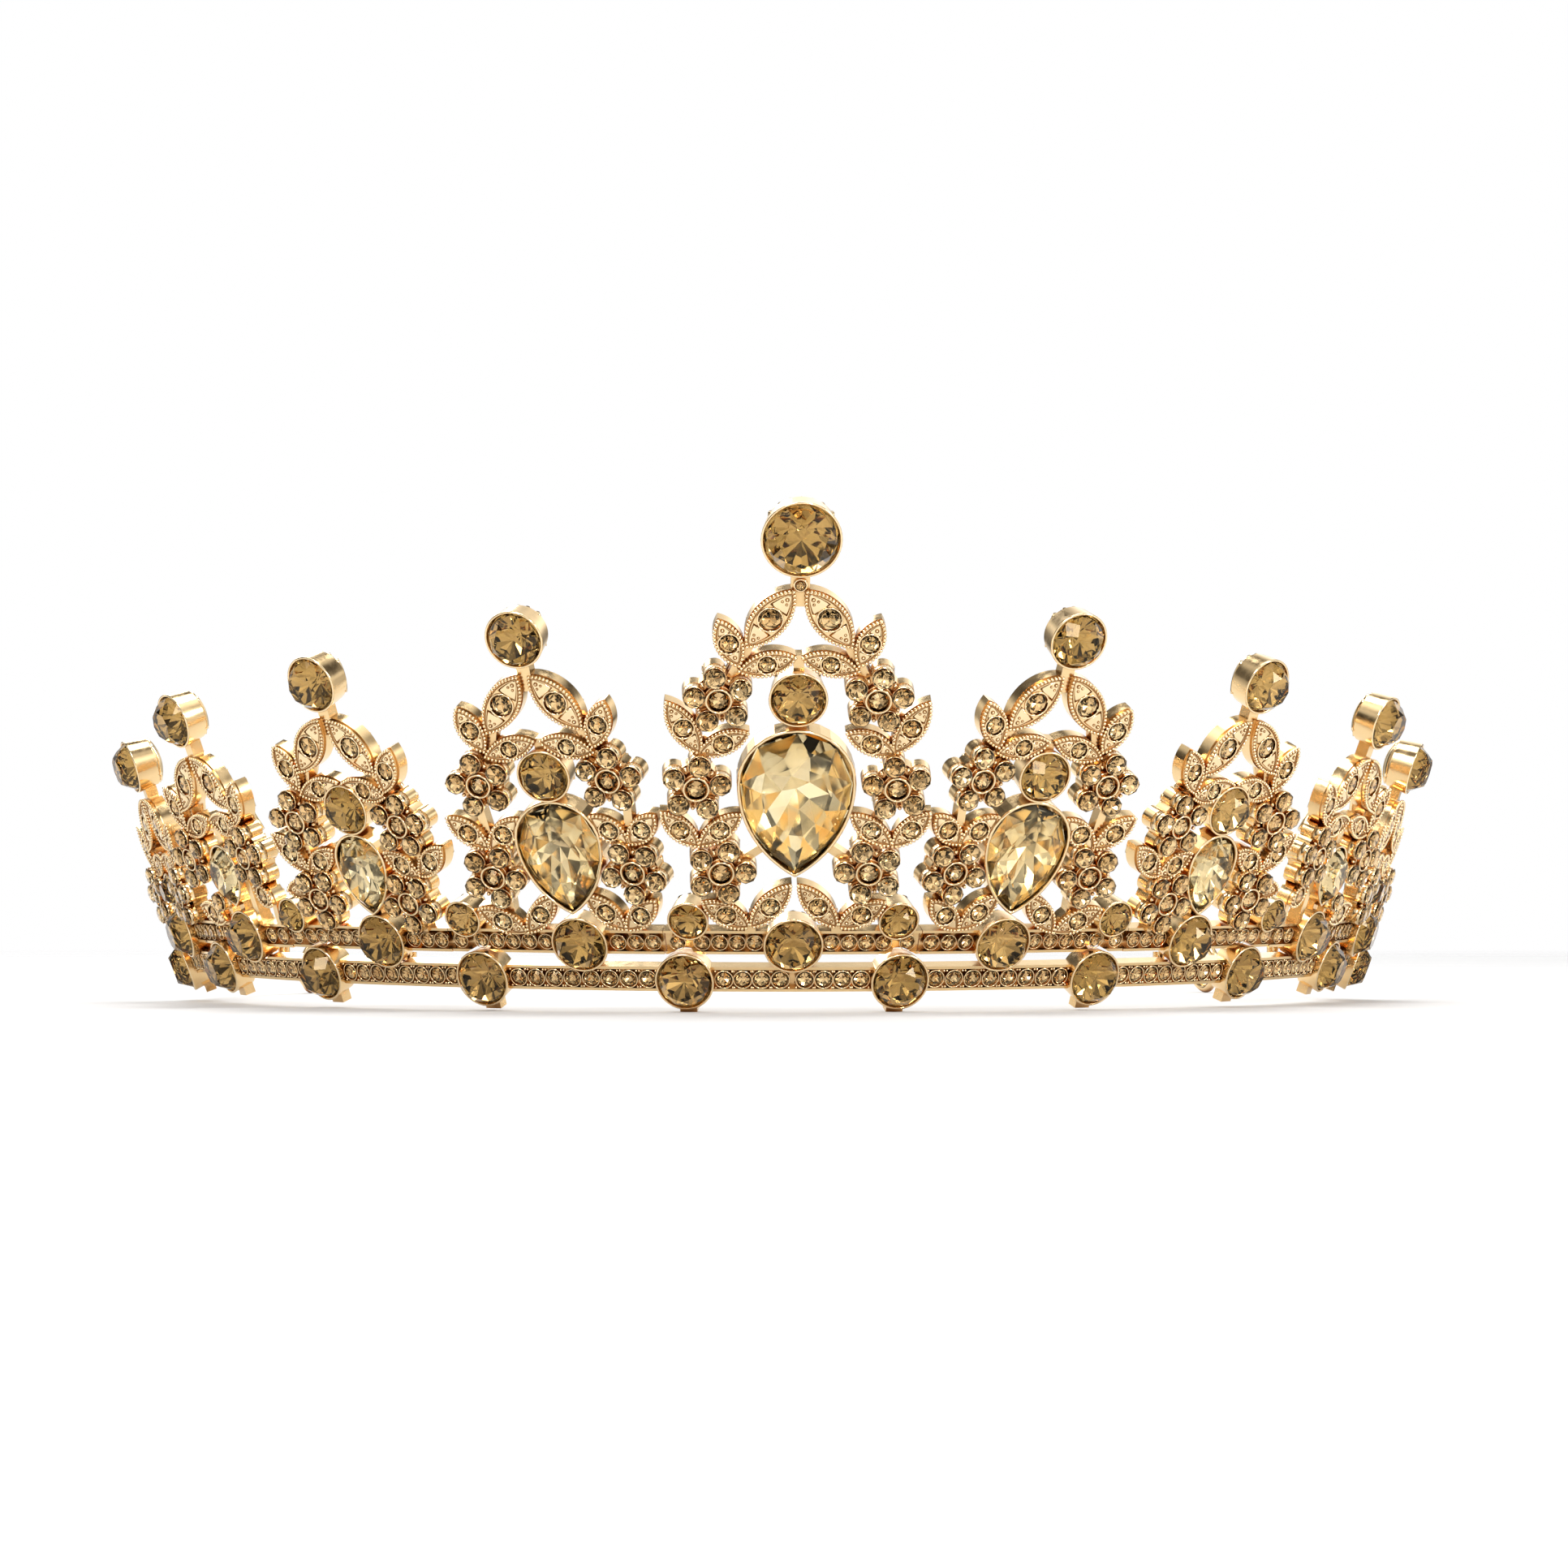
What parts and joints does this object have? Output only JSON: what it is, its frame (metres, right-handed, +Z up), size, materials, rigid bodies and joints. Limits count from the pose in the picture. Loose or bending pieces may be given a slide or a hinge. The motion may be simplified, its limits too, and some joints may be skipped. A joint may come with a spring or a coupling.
{
  "type": "rhinestone tiara",
  "caption": "Gold-tone rhinestone tiara: peaked openwork castings of leaves and flowers set with round and pear stones on a stone-set band, with a wire headband ending in loops.",
  "frame": {"origin": "middle of the base: the point of the floor below the centre of the bounding box", "axes": "+X to the wearer's left across the width (the right of the picture), +Y from the peaked front to the open back, +Z up; units metres"},
  "size_m": [0.1692, 0.1512, 0.0563],
  "materials": {
    "gold": "polished pale gold plating over a cast zinc alloy",
    "round_glass": "faceted foil-backed glass, smoky olive-brown topaz",
    "pear_glass": "faceted foil-backed glass, pale champagne",
    "small_glass": "small faceted glass stones, brownish champagne"
  },
  "bodies": {
    "root": {"spire_center": "gold", "spire_right_1": "gold", "spire_left_1": "gold", "spire_right_2": "gold", "spire_left_2": "gold", "spire_right_3": "gold", "spire_left_3": "gold", "spire_right_4": "gold", "spire_left_4": "gold", "lower_band": "gold", "headband": "gold", "top_stone_center": "round_glass", "top_stone_right_1": "round_glass", "top_stone_left_1": "round_glass", "top_stone_right_2": "round_glass", "top_stone_left_2": "round_glass", "top_stone_right_3": "round_glass", "top_stone_left_3": "round_glass", "top_stone_right_4": "round_glass", "top_stone_left_4": "round_glass", "pear_stone_center": "pear_glass", "pear_stone_right_1": "pear_glass", "pear_stone_left_1": "pear_glass", "pear_stone_right_2": "pear_glass", "pear_stone_left_2": "pear_glass", "pear_stone_right_3": "pear_glass", "pear_stone_left_3": "pear_glass", "round_stone_center": "round_glass", "round_stone_right_1": "round_glass", "round_stone_left_1": "round_glass", "round_stone_right_2": "round_glass", "round_stone_left_2": "round_glass", "round_stone_right_4": "round_glass", "round_stone_left_4": "round_glass", "upper_stone_center": "round_glass", "upper_stone_right_1": "round_glass", "upper_stone_left_1": "round_glass", "upper_stone_right_2": "round_glass", "upper_stone_left_2": "round_glass", "upper_stone_right_3": "round_glass", "upper_stone_left_3": "round_glass", "upper_stone_right_4": "round_glass", "upper_stone_left_4": "round_glass", "lower_stone_right_1": "round_glass", "lower_stone_left_1": "round_glass", "lower_stone_right_2": "round_glass", "lower_stone_left_2": "round_glass", "lower_stone_right_3": "round_glass", "lower_stone_left_3": "round_glass", "lower_stone_right_4": "round_glass", "lower_stone_left_4": "round_glass", "end_stones": "round_glass", "mid_stones": "round_glass", "leaf_stones": "small_glass", "flower_stones": "small_glass", "lower_band_stones": "small_glass"}
  },
  "joints": []
}
